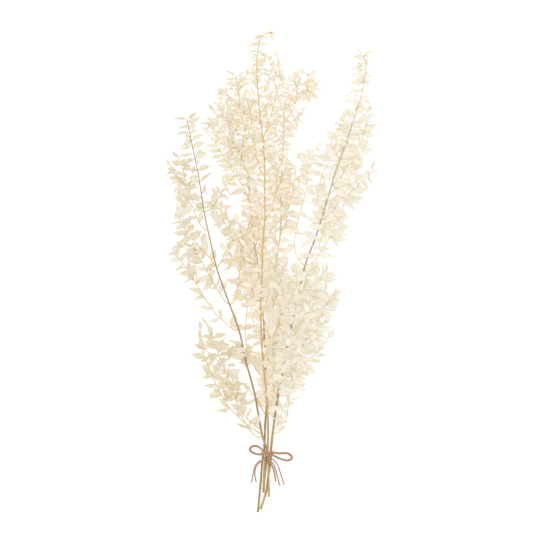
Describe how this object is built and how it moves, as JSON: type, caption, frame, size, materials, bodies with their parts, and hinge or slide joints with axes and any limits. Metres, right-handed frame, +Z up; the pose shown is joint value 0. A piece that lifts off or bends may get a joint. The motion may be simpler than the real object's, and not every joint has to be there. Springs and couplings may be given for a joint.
{
  "type": "dried ruscus bunch",
  "caption": "Bunch of tall dried ruscus stems with small pointed leaves, tied near the cut ends with a jute twine bow, lying flat.",
  "frame": {"origin": "on the table below the middle of the bunch, seen from above", "axes": "+Y along the bunch from the cut ends to the tips, +X to the right seen from above, +Z up from the table"},
  "size_m": [0.3548, 0.7985, 0.0888],
  "materials": {
    "dried_leaf": "bleached, dry and matt, papery",
    "stem_bark": "dry smooth bark, golden to grey-brown",
    "twine": "twisted jute, matt and fibrous"
  },
  "bodies": {
    "root": {"stem_left": "dried_leaf", "stem_centre_left": "dried_leaf", "stem_centre": "dried_leaf", "stem_centre_right": "dried_leaf", "stem_right": "dried_leaf", "twine_tie": "twine", "bow_left_outer": "twine", "bow_left_inner": "twine", "bow_right_outer": "twine", "bow_right_inner": "twine", "tail_left_outer": "twine", "tail_left_inner": "twine", "tail_right_inner": "twine", "tail_right_middle": "twine", "tail_right_outer": "twine"}
  },
  "joints": []
}
